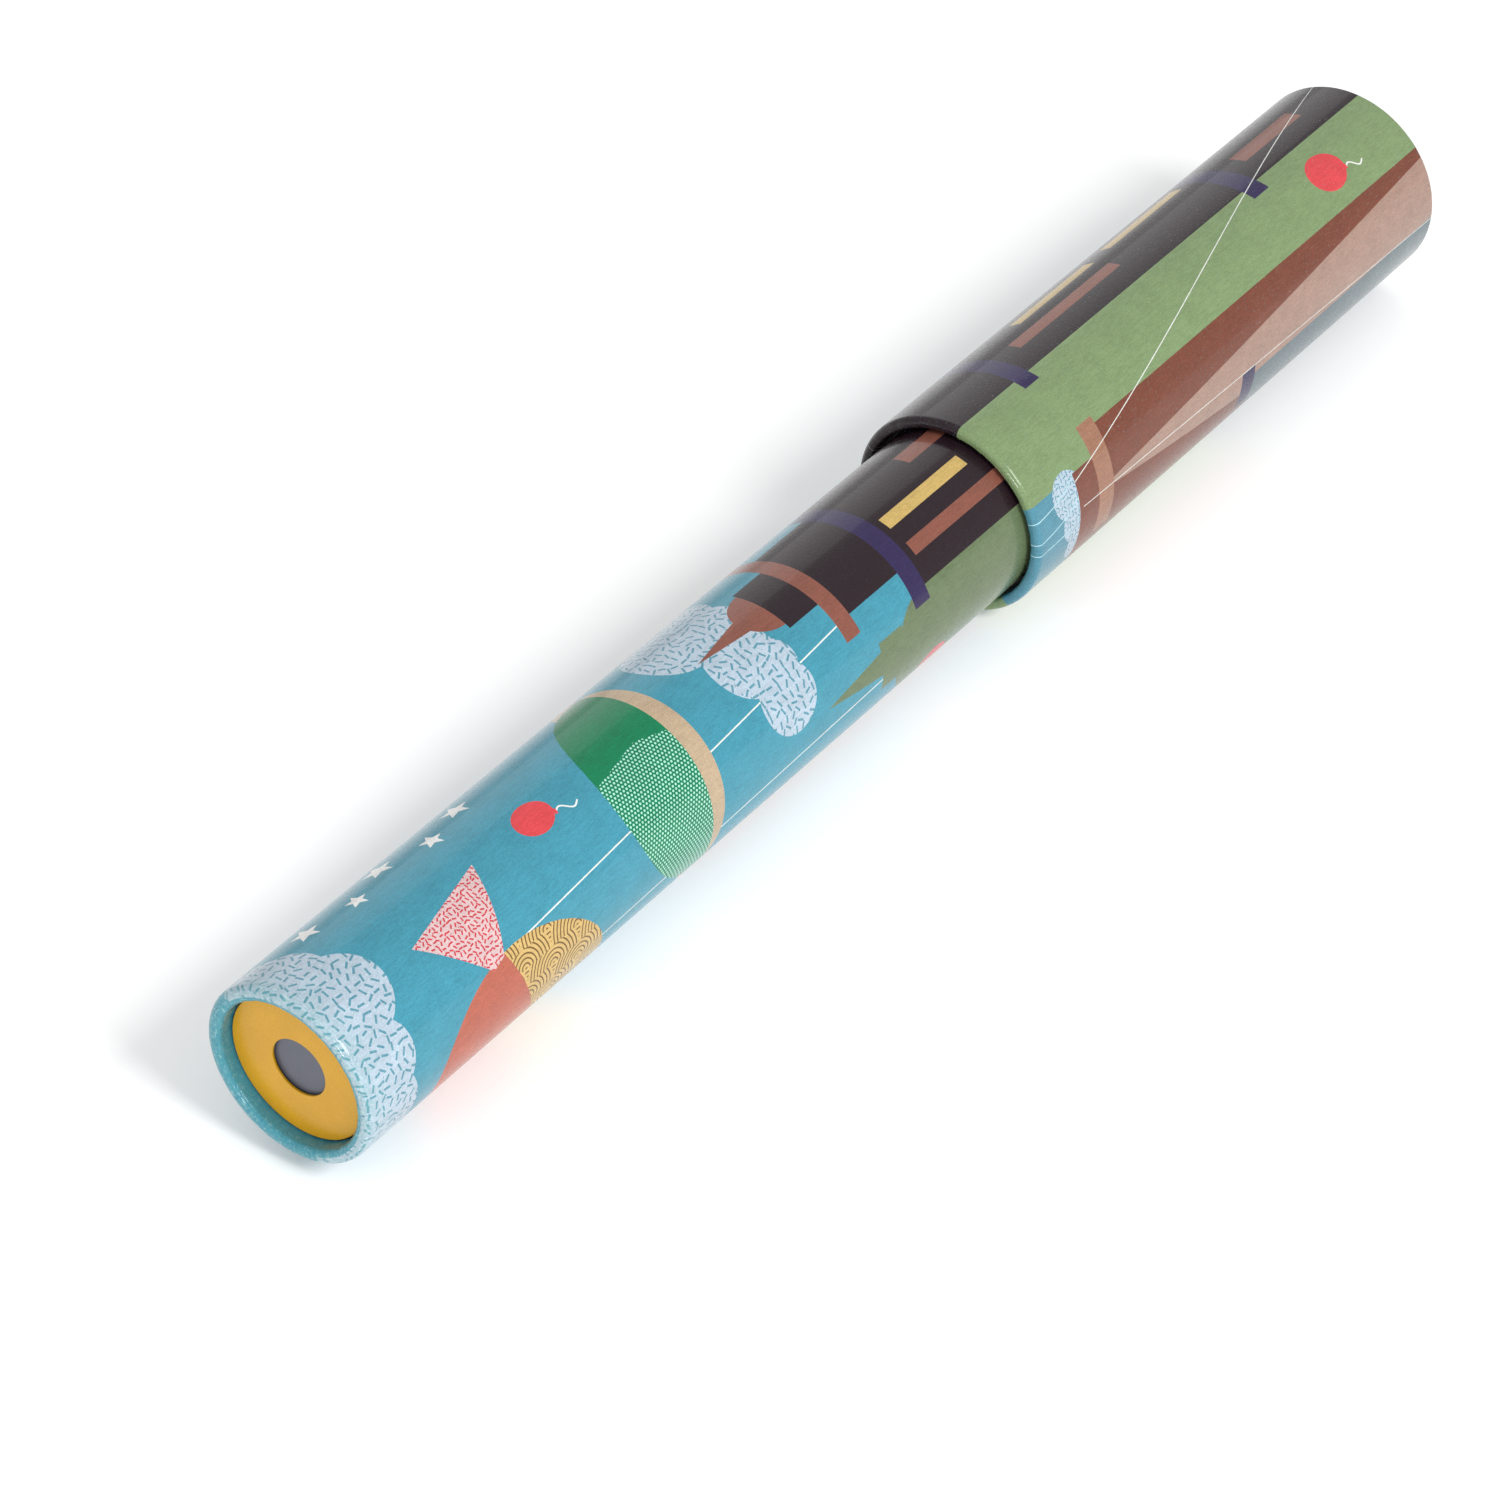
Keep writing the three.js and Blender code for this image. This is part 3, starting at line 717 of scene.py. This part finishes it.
def flat_sheet(art, rows, columns, circumference, ground):
    """(points, triangles, inks) of the sheet cut along the art's outlines.

    What runs over the seam on one side comes in again on the other.
    """
    low, high = (rows[0], columns[0]), (rows[-1], columns[-1])
    layers = []
    for colour, outline in art:
        for turn in (-circumference, 0, circumference):
            layers.append((colour, clipped([(x, s + turn) for x, s in outline], low, high)))
    layers = [(colour, outline) for colour, outline in layers if len(outline) > 2]
    points = [Vector((x, s)) for x in rows for s in columns]
    count = len(columns)
    edges = [(i * count + j, i * count + j + 1) for i in range(len(rows)) for j in range(count - 1)]
    edges += [(i * count + j, (i + 1) * count + j) for i in range(len(rows) - 1) for j in range(count)]
    for _, outline in layers:
        first = len(points)
        points += [Vector(p) for p in outline]
        edges += [(first + i, first + (i + 1) % len(outline)) for i in range(len(outline))]
    cut = geometry.delaunay_2d_cdt(points, edges, [], 0, 1e-4)
    points, triangles = cut[0], cut[2]
    boxes = [(min(p[0] for p in o), max(p[0] for p in o), min(p[1] for p in o), max(p[1] for p in o))
             for _, o in layers]
    inks = []
    for triangle in triangles:
        middle = sum((points[i] for i in triangle), Vector((0, 0))) / 3
        found = ground
        for (colour, outline), (x0, x1, s0, s1) in zip(reversed(layers), reversed(boxes)):
            if x0 <= middle.x <= x1 and s0 <= middle.y <= s1 and inside(middle, outline):
                found = colour
                break
        inks.append(found)
    return points, triangles, inks


# Measures of the wrapped papers, in millimetres.
PAPER_THICKNESS = 0.42
CRIMP_DEPTH = 0.07  # how deep the furrows are where the paper is gathered over a rim
SEAM_GAP = 0.05
SHEET_COLUMNS = 240
PAPER_SHRINK = 1 - 2e-4  # keeps the round paper inside the frame's flats


def crimp(paper, along, around):
    """How far the paper sinks in at a point of the rim, in millimetres."""
    past_near = paper.wall_start - along
    past_far = along - (paper.length - paper.wall_start) if paper.far else -1.0
    past = max(past_near, past_far)
    if past <= 0:
        return 0.0
    side = 7.0 if past_near > 0 else 31.0
    ramp = min(past / 3.0, 1.0)
    pleats = noise.noise(Vector((around * 0.55, side, along * 0.12)))
    fine = noise.noise(Vector((around * 1.6, side + 40, along * 0.3)))
    return CRIMP_DEPTH * ramp * min(max(0.5 + pleats + 0.6 * fine, 0.0), 1.0)


def rim_wear(paper, along):
    """How rubbed the print is by its nearest rim: 1 on the rim, less further out and in."""
    past = max(-along, along - paper.length) if paper.far else -along
    return 1 - past / 9.0 if past > 0 else 1 + past / 5.5


def on_tube(paper, along, around, depth):
    """The place in the scene of a point on the sheet, or of one that lies depth below it."""
    (x, r), (nx, nr) = paper.at(along)
    sink = crimp(paper, along, around) + depth
    x, r = x - nx * sink, (r - nr * sink) * PAPER_SHRINK
    angle = around / paper.radius
    return Vector((paper.start + x * MM, r * MM * math.sin(angle), AXIS_Z + r * MM * math.cos(angle)))


def sheet_normal(paper, along, around):
    """The outward normal of the rolled paper, crimps included."""
    step = 0.02
    ahead = on_tube(paper, along + step, around, 0) - on_tube(paper, along - step, around, 0)
    side = on_tube(paper, along, around + step, 0) - on_tube(paper, along, around - step, 0)
    return side.cross(ahead).normalized() * -1


def paper_faces(triangles, total):
    """The faces of a closed piece: its front, its back and its cut edges, in that order.

    The back's points come after the front's total points.
    """
    front = [tuple(t) for t in triangles]
    back = [tuple(i + total for i in reversed(t)) for t in triangles]
    open_edges = {}
    for t in front:
        for a, b in zip(t, t[1:] + t[:1]):
            if (b, a) in open_edges:
                del open_edges[b, a]
            else:
                open_edges[a, b] = True
    walls = [(b, a, a + total, b + total) for a, b in open_edges]
    return front + back + walls


def lay_inks(mesh, inks):
    """Gives each front face its ink, and every other face the unprinted paper."""
    names = sorted(set(inks))
    for colour in names:
        mesh.materials.append(INKS[colour])
    mesh.materials.append(PAPER_BACK_MATERIAL)
    slots = [names.index(colour) for colour in inks]
    slots += [len(names)] * (len(mesh.polygons) - len(inks))
    mesh.polygons.foreach_set("material_index", slots)


def mark_sheet(mesh, points, rubbed):
    """Stores, for the inks, each point's place on the flat sheet and how rubbed it is."""
    total = len(points)
    flat = mesh.uv_layers.new(name="sheet")
    wear = mesh.attributes.new("wear", "FLOAT", "POINT")
    for polygon in mesh.polygons:
        for loop in polygon.loop_indices:
            flat.data[loop].uv = points[mesh.loops[loop].vertex_index % total]
    for i in range(2 * total):
        wear.data[i].value = rubbed[i % total]


def shade_paper(mesh, shading, faces):
    """Smooth shading on the paper's front and back, with that many faces each, and none on its edges."""
    total = len(shading)
    normals = []
    for polygon in mesh.polygons:
        for loop in polygon.loop_indices:
            i = mesh.loops[loop].vertex_index
            if polygon.index < faces:
                normals.append(shading[i])
            elif polygon.index < 2 * faces:
                normals.append(-shading[i - total])
            else:
                normals.append(Vector((0, 0, 0)))
    mesh.polygons.foreach_set("use_smooth", [True] * len(mesh.polygons))
    mesh.normals_split_custom_set(normals)


def roll_paper(name, node, art, ground, seam, body, worn, rim_worn):
    """Cuts the art into a flat sheet, rolls it and gives it a back, as one closed piece.

    worn and rim_worn are how rubbed the print is away from the rims and on them, from 0 to 1.
    """
    paper = RolledPaper(node)
    circumference = 2 * math.pi * paper.radius
    first = seam - circumference + SEAM_GAP
    columns = [first + (circumference - SEAM_GAP) * i / SHEET_COLUMNS for i in range(SHEET_COLUMNS + 1)]
    points, triangles, inks = flat_sheet(art, paper.stations(), columns, circumference, ground)
    verts = [on_tube(paper, p.x, p.y, 0.0) for p in points]
    verts += [on_tube(paper, p.x, p.y, PAPER_THICKNESS) for p in points]
    mesh = bpy.data.meshes.new(name)
    mesh.from_pydata(verts, [], paper_faces(triangles, len(points)))
    lay_inks(mesh, inks)
    mark_sheet(mesh, points, [max(worn, rim_worn * rim_wear(paper, p.x)) for p in points])
    shade_paper(mesh, [sheet_normal(paper, p.x, p.y) for p in points], len(triangles))
    return settle(name, mesh, node, body)


def settle(name, mesh, node, body):
    """Puts a mesh in the scene in place of its CAD node, riding on its body."""
    piece = bpy.data.objects.new(name, mesh)
    bpy.context.scene.collection.objects.link(piece)
    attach(piece, body)
    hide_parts(node)
    return piece


def read_turned(node):
    """(start, end, inner radius, outer radius) of a turned CAD node, in millimetres."""
    low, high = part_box(node)
    distances = [math.hypot(v.co.y, v.co.z - AXIS_Z) for v in NODES[node].data.vertices]
    inner = min(distances) * math.cos(math.pi / CAD_SIDES)
    return low.x / MM, high.x / MM, inner / MM, (high.z - low.z) / 2 / MM


def corner_round(x, r, radius, towards_x, towards_r, steps=3):
    """The rounded corner of a section at (x, r), whose body lies towards the given signs."""
    centre = (x + towards_x * radius, r + towards_r * radius)
    points = []
    for i in range(steps + 1):
        angle = math.pi / 2 * i / steps
        points.append((centre[0] - towards_x * radius * math.cos(angle),
                       centre[1] - towards_r * radius * math.sin(angle)))
    return points


def turned_section(start, end, inner, outer, bevel):
    """The closed section of a ring with rounded corners, or of a disc where inner is 0."""
    corners = corner_round(start, outer, bevel, 1, -1)
    corners += corner_round(end, outer, bevel, -1, -1)[::-1]
    if inner > TOUCHING:
        corners += corner_round(end, inner, bevel, -1, 1)
        corners += corner_round(start, inner, bevel, 1, 1)[::-1]
    return corners


def turned_mesh(name, section, is_disc, sides=128, centre=(0.0, AXIS_Z)):
    """Turns a section round the line along X through centre."""
    built = bmesh.new()
    rings = []
    for x, r in section:
        ring = []
        for i in range(sides):
            angle = 2 * math.pi * i / sides
            place = (x * MM, centre[0] + r * MM * math.sin(angle), centre[1] + r * MM * math.cos(angle))
            ring.append(built.verts.new(place))
        rings.append(ring)
    pairs = list(zip(rings, rings[1:]))
    if not is_disc:
        pairs.append((rings[-1], rings[0]))
    for first, second in pairs:
        for i in range(sides):
            j = (i + 1) % sides
            built.faces.new((first[i], first[j], second[j], second[i]))
    if is_disc:
        built.faces.new(rings[0])
        built.faces.new(rings[-1])
    bmesh.ops.recalc_face_normals(built, faces=built.faces)
    mesh = bpy.data.meshes.new(name)
    built.to_mesh(mesh)
    built.free()
    smooth_edges_only(mesh)
    return mesh


def smooth_edges_only(mesh):
    """Smooth shading in which the broad faces stay flat and only the eased edges turn."""
    sums = [Vector((0, 0, 0)) for _ in mesh.vertices]
    for polygon in mesh.polygons:
        for i in polygon.vertices:
            sums[i] += polygon.normal * polygon.area
    mesh.polygons.foreach_set("use_smooth", [True] * len(mesh.polygons))
    mesh.normals_split_custom_set_from_vertices([total.normalized() for total in sums])


def turned_piece(node, body, material, bevel=0.15):
    """A finely turned copy of a CAD ring or disc, with eased edges."""
    start, end, inner, outer = read_turned(node)
    section = turned_section(start, end, inner, outer, bevel)
    mesh = turned_mesh(node, section, inner <= TOUCHING)
    mesh.materials.append(material)
    return settle("fine_" + node, mesh, node, body)


def bevelled_piece(node, body, materials, bevel, segments=3):
    """A copy of a CAD solid with rounded edges. Its first material covers it."""
    mesh = NODES[node].data.copy()
    built = bmesh.new()
    built.from_mesh(mesh)
    bmesh.ops.remove_doubles(built, verts=built.verts, dist=1e-6)
    bmesh.ops.dissolve_limit(built, angle_limit=math.radians(1), verts=built.verts, edges=built.edges)
    sharp = [e for e in built.edges if e.is_manifold and e.calc_face_angle() > math.radians(20)]
    bmesh.ops.bevel(built, geom=sharp, offset=bevel * MM, segments=segments, profile=0.5,
                    affect="EDGES", clamp_overlap=True)
    bmesh.ops.recalc_face_normals(built, faces=built.faces)
    built.to_mesh(mesh)
    built.free()
    mesh.materials.clear()
    for material in materials:
        mesh.materials.append(material)
    smooth_edges_only(mesh)
    return settle("fine_" + node, mesh, node, body)


# ---- Materials of the other pieces ----


def glossy_ochre():
    material, shader = new_material("ochre_gloss")
    place = shader.millimetres()
    cloudy = shader.noise(place, 0.12, detail=2.0)
    speck = shader.noise(place, 3.0, detail=4.0, roughness=0.7)
    shade = shader.math("ADD", shader.ramp(cloudy, 0.3, 0.7, 0.96, 1.04),
                        shader.ramp(speck, 0.3, 0.7, -0.02, 0.02))
    colour = shader.shaded(linear(OCHRE), shade)
    shader.set("Base Color", colour)
    shader.set("Roughness", shader.ramp(speck, 0.3, 0.7, 0.2, 0.32))
    shader.set("Normal", shader.bump(speck, 0.15, 0.03 * MM))
    shader.set("IOR", 1.35)
    shader.set("Coat Weight", 0.12)
    shader.set("Coat Roughness", 0.08)
    return material


def dark_window():
    """The eye window: clear plastic over a dark tube, given an opaque slate grey that paints on the shade of
    the tube's inside.
    """
    material, shader = new_material("eye_window")
    place = shader.millimetres()
    haze = shader.noise(place, 0.25, detail=3.0)
    dust = shader.ramp(shader.noise(place, 2.4, detail=2.0), 0.74, 0.78)
    shade = shader.ramp(haze, 0.3, 0.7, 0.93, 1.07)
    # painted shade: the grey of the tube's dark inside, laid on the window as its colour
    colour = shader.shaded(linear(WINDOW_PAINTED_DARK), shade)
    colour = shader.mix(dust, colour, linear(BLACK))
    shader.set("Base Color", colour)
    shader.set("Roughness", shader.ramp(haze, 0.3, 0.7, 0.3, 0.4))
    return material


def clear_plastic():
    material, shader = new_material("clear_plastic")
    smears = shader.noise(shader.millimetres(), 0.3, detail=4.0)
    shader.set("Roughness", shader.ramp(smears, 0.4, 0.7, 0.03, 0.12))
    shader.set("Base Color", linear((0.97, 0.98, 0.98)))
    shader.set("Transmission Weight", 1.0)
    shader.set("IOR", 1.46)
    return material


def frosted_plastic():
    """The diffuser: milky, with the chips showing softly through it."""
    material, shader = new_material("frosted_plastic")
    place = shader.millimetres()
    grain = shader.noise(place, 5.0, detail=2.0)
    shader.set("Roughness", shader.ramp(grain, 0.3, 0.7, 0.15, 0.24))
    shader.set("Normal", shader.bump(grain, 0.25, 0.03 * MM))
    shader.set("Base Color", linear((0.95, 0.96, 0.95)))
    shader.set("Transmission Weight", 0.8)
    shader.set("IOR", 1.46)
    return material


PLY_PITCH = 42.0  # how far a ply of the wound card goes along the tube in a turn, in millimetres


def greyboard(name="greyboard", spiral=True):
    """Wound grey card, with the spiral joint lines of its plies."""
    material, shader = new_material(name)
    place = shader.millimetres()
    flecks = shader.noise(place, 1.8, detail=5.0, roughness=0.7)
    fibre = shader.noise(shader.scaled(place, (0.3, 2.0, 2.0)), 1.2, detail=3.0)
    shade = shader.math("ADD", shader.ramp(flecks, 0.3, 0.7, 0.86, 1.1),
                        shader.ramp(fibre, 0.3, 0.7, -0.06, 0.06))
    height = flecks
    if spiral:
        x, y, z = shader.split(place)
        angle = shader.math("ARCTAN2", y, shader.math("SUBTRACT", z, AXIS_Z / MM))
        turn = shader.math("DIVIDE", angle, 2 * math.pi)
        winding = shader.math("FRACT", shader.math("ADD", shader.math("DIVIDE", x, PLY_PITCH), turn))
        away = shader.math("ABSOLUTE", shader.math("SUBTRACT", winding, 0.5))
        joint = shader.ramp(away, 0.0, 0.012)
        shade = shader.math("MULTIPLY", shade, shader.ramp(joint, 0.0, 1.0, 0.72, 1.0))
        height = shader.math("ADD", flecks, joint)
    colour = shader.shaded(linear(GREYBOARD), shade)
    shader.set("Base Color", colour)
    shader.set("Normal", shader.bump(height, 0.4, 0.06 * MM))
    shader.set("Roughness", 0.85)
    return material


def kraft_board():
    material, shader = new_material("kraft_board")
    place = shader.millimetres()
    fibre = shader.noise(shader.scaled(place, (0.4, 2.0, 2.0)), 1.3, detail=5.0, roughness=0.7)
    shade = shader.ramp(fibre, 0.3, 0.7, 0.82, 1.14)
    colour = shader.shaded(linear(KRAFT), shade)
    shader.set("Base Color", colour)
    shader.set("Normal", shader.bump(fibre, 0.4, 0.06 * MM))
    shader.set("Roughness", 0.9)
    return material


def felt():
    material, shader = new_material("felt")
    place = shader.millimetres()
    fuzz = shader.noise(place, 2.6, detail=6.0, roughness=0.8)
    shade = shader.ramp(fuzz, 0.3, 0.7, 0.6, 1.4)
    colour = shader.shaded(linear((0.2, 0.19, 0.21)), shade)
    shader.set("Base Color", colour)
    shader.set("Normal", shader.bump(fuzz, 0.8, 0.15 * MM))
    shader.set("Roughness", 0.95)
    shader.set("Sheen Weight", 0.4)
    return material


def silvered():
    material, shader = new_material("silvered")
    film = shader.noise(shader.millimetres(), 0.15, detail=4.0)
    shader.set("Roughness", shader.ramp(film, 0.4, 0.75, 0.02, 0.07))
    shader.set("Base Color", linear((0.92, 0.93, 0.94)))
    shader.set("Metallic", 1.0)
    return material


def mirror_backing():
    material, shader = new_material("mirror_backing")
    film = shader.noise(shader.millimetres(), 0.8, detail=4.0)
    shade = shader.ramp(film, 0.3, 0.7, 0.85, 1.1)
    colour = shader.shaded(linear((0.30, 0.31, 0.34)), shade)
    shader.set("Base Color", colour)
    shader.set("Roughness", shader.ramp(film, 0.3, 0.7, 0.4, 0.6))
    return material


def tinted_plastic(name, colour):
    """Clear coloured plastic, a little deeper in some places."""
    material, shader = new_material(name)
    swirl = shader.noise(shader.millimetres(), 0.5, detail=3.0)
    shade = shader.ramp(swirl, 0.3, 0.7, 0.82, 1.12)
    tint = shader.shaded(linear(colour), shade)
    shader.set("Base Color", tint)
    shader.set("Roughness", shader.ramp(swirl, 0.3, 0.7, 0.08, 0.18))
    shader.set("Transmission Weight", 0.35)
    shader.set("IOR", 1.49)
    return material


CHIP_COLOURS = {
    "red": (0.88, 0.14, 0.16),
    "yellow": (0.98, 0.76, 0.12),
    "blue": (0.12, 0.42, 0.85),
    "green": (0.10, 0.64, 0.32),
    "violet": (0.50, 0.26, 0.72),
}


# ---- Pieces ----


def add_printed_papers():
    roll_paper("tube_paper", "tube_print", tube_art(), "turquoise", 23.0, "viewing_tube", 0.05, 1.0)
    roll_paper("sleeve_paper", "sleeve_print", sleeve_art(), "green", 27.0, "sleeve", 0.17, 0.17)


def add_turned_pieces():
    card, plain_card = greyboard(), greyboard("cut_card", spiral=False)
    ochre, clear = glossy_ochre(), clear_plastic()
    for node, body, slot, material, bevel in (
        ("tube_core", "viewing_tube", "card", card, 0.8),
        ("eyepiece_disc", "viewing_tube", "ochre_plastic", ochre, 0.15),
        ("eye_window", "viewing_tube", "eye_window", dark_window(), 0.1),
        ("eye_washer", "viewing_tube", "card", plain_card, 0.2),
        ("tube_end_window", "viewing_tube", "clear_plastic", clear, 0.15),
        ("stop_collar", "viewing_tube", "card", card, 0.25),
        ("slip_ring", "slip_ring", "felt", felt(), 0.35),
        ("sleeve_core", "sleeve", "card", card, 0.4),
        ("slip_ring_keeper", "sleeve", "card", plain_card, 0.12),
        ("chamber_seat_ring", "sleeve", "card", plain_card, 0.2),
        ("chamber_window", "sleeve", "clear_plastic", clear, 0.15),
        ("chamber_spacer", "sleeve", "card", plain_card, 0.3),
        ("diffuser", "sleeve", "diffuser", frosted_plastic(), 0.2),
        ("object_end_ring", "sleeve", "ochre_plastic", ochre, 0.35),
    ):
        turned_piece(node, body, material, bevel)


def add_mirrors():
    front, back = silvered(), mirror_backing()
    axis = Vector((0, 0, AXIS_Z))
    for i in (1, 2, 3):
        piece = bevelled_piece(f"mirror_{i}", "viewing_tube", [back, front], 0.08)
        for polygon in piece.data.polygons:
            outwards = polygon.center - axis
            outwards.x = 0
            if polygon.normal.dot(outwards.normalized()) < -0.9:
                polygon.material_index = 1


def add_card_solids():
    card, board = greyboard("support_card", spiral=False), kraft_board()
    for node in ("mirror_front_support", "mirror_rear_support"):
        bevelled_piece(node, "viewing_tube", [card], 0.15, segments=2)
    for i in (1, 2, 3):
        bevelled_piece(f"packing_strip_{i}", "viewing_tube", [board], 0.4)


def add_chips():
    plastics = {name: tinted_plastic(f"plastic_{name}", colour) for name, colour in CHIP_COLOURS.items()}
    for node in frame["record"]["behaviour"]["bodies"]["chips"]:
        colour, shape = node.split("_")[:2]
        if shape == "disc":
            add_round_chip(node, plastics[colour])
        else:
            bevelled_piece(node, "chips", [plastics[colour]], 0.35)


def add_round_chip(node, material):
    """A turned bead in place of a chip's faceted disc."""
    low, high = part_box(node)
    radius = (high.z - low.z) / 2 / MM
    section = turned_section(low.x / MM, high.x / MM, 0.0, radius, 0.35)
    centre = ((low.y + high.y) / 2, (low.z + high.z) / 2)
    mesh = turned_mesh(node, section, True, sides=48, centre=centre)
    mesh.materials.append(material)
    settle("fine_" + node, mesh, node, "chips")


# ---- Floor, light and camera ----

VIEW_AZIMUTH = math.radians(-53.8)  # 0 looks along +Y
VIEW_ELEVATION = math.radians(39.17)
VIEW_TARGET = Vector((-0.0601, -0.0126, AXIS_Z))
VIEW_DISTANCE = 1.1061
LENS = 132.0


def add_floor():
    bpy.ops.mesh.primitive_plane_add(size=8)
    floor = bpy.context.object
    floor.name = "floor"
    material, shader = new_material("pale_floor")
    soft = shader.noise(shader.millimetres(), 0.004, detail=2.0)
    shade = shader.ramp(soft, 0.3, 0.7, 0.93, 0.95)
    shader.set("Base Color", shader.join(shade, shade, shade))
    shader.set("Roughness", 0.9)
    shader.set("Specular IOR Level", 0.1)
    shader.set("Emission Color", (1, 1, 1, 1))
    shader.set("Emission Strength", 0.07)  # lit from below, like a light table
    floor.data.materials.append(material)
    floor.location.z = CAD_BOX[0][2] - 0.0002


def add_softbox(name, place, size, power):
    light = bpy.data.lights.new(name, "AREA")
    light.shape = "RECTANGLE"
    light.size, light.size_y = size
    light.energy = power
    lamp = bpy.data.objects.new(name, light)
    lamp.location = place
    aim = Vector((0, 0, AXIS_Z)) - lamp.location
    lamp.rotation_euler = aim.to_track_quat("-Z", "Y").to_euler()
    bpy.context.scene.collection.objects.link(lamp)


def add_light():
    world = bpy.data.worlds.new("studio")
    world.use_nodes = True
    background = world.node_tree.nodes["Background"]
    background.inputs["Color"].default_value = (1, 1, 1, 1)
    background.inputs["Strength"].default_value = 0.72
    bpy.context.scene.world = world
    add_softbox("key_light", (-0.3, -1.6, 1.4), (0.7, 0.7), 33)
    add_softbox("back_light", (1.1, 1.15, 0.85), (1.2, 1.1), 3.3)
    add_softbox("end_light", (-1.35, -0.5, 0.27), (0.3, 0.14), 5.0)
    bpy.context.scene.view_settings.view_transform = "Standard"


def add_camera():
    camera = bpy.data.cameras.new("camera")
    camera.lens = LENS
    camera.clip_end = 20
    holder = bpy.data.objects.new("camera", camera)
    level = math.cos(VIEW_ELEVATION)
    back = Vector((math.sin(VIEW_AZIMUTH) * level, -math.cos(VIEW_AZIMUTH) * level, math.sin(VIEW_ELEVATION)))
    holder.location = VIEW_TARGET + back * VIEW_DISTANCE
    holder.rotation_euler = (-back).to_track_quat("-Z", "Y").to_euler()
    bpy.context.scene.collection.objects.link(holder)
    bpy.context.scene.camera = holder


add_camera()
add_light()
add_floor()
add_printed_papers()
add_turned_pieces()
add_mirrors()
add_card_solids()
add_chips()
